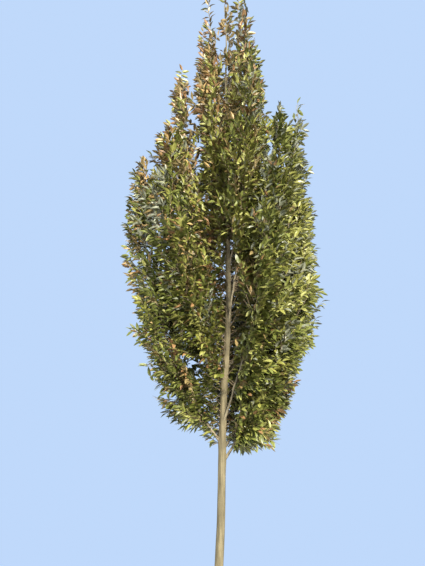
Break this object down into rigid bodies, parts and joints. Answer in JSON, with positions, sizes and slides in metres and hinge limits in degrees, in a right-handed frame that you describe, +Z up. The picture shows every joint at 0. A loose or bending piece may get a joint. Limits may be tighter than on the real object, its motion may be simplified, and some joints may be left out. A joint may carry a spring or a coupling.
{
  "type": "columnar hornbeam tree",
  "caption": "Rooted columnar hornbeam: a clear straight stem, then upswept boughs that climb close together into leafy spires of green, amber and russet leaves.",
  "frame": {"origin": "centre of the flat cut under the trunk, at ground level", "axes": "+Z up along the stem, -Y towards the side that the picture shows, +X to its right"},
  "size_m": [1.7213, 1.6021, 7.6145],
  "materials": {
    "trunk_bark": "smooth grey-brown bark with shallow flutes",
    "bough_bark": "smooth grey-brown bark",
    "foliage": "satin leaves, green with amber and russet sprays"
  },
  "bodies": {
    "root": {"trunk": "trunk_bark", "bough_01": "bough_bark", "bough_02": "bough_bark", "bough_03": "bough_bark", "bough_04": "bough_bark", "bough_05": "bough_bark", "bough_06": "bough_bark", "bough_07": "bough_bark", "bough_08": "bough_bark", "bough_09": "bough_bark", "bough_10": "bough_bark", "bough_11": "bough_bark", "bough_12": "bough_bark", "bough_13": "bough_bark", "bough_14": "bough_bark", "bough_15": "bough_bark", "bough_16": "bough_bark", "bough_17": "bough_bark", "bough_18": "bough_bark", "bough_19": "bough_bark", "bough_20": "bough_bark", "foliage_01": "foliage", "foliage_02": "foliage", "foliage_03": "foliage", "foliage_04": "foliage", "foliage_05": "foliage", "foliage_06": "foliage", "foliage_07": "foliage", "foliage_08": "foliage", "foliage_09": "foliage", "foliage_10": "foliage", "foliage_11": "foliage", "foliage_12": "foliage", "foliage_13": "foliage", "foliage_14": "foliage", "foliage_15": "foliage", "foliage_16": "foliage", "foliage_17": "foliage", "foliage_18": "foliage", "foliage_19": "foliage", "foliage_20": "foliage", "foliage_leader": "foliage"}
  },
  "joints": []
}
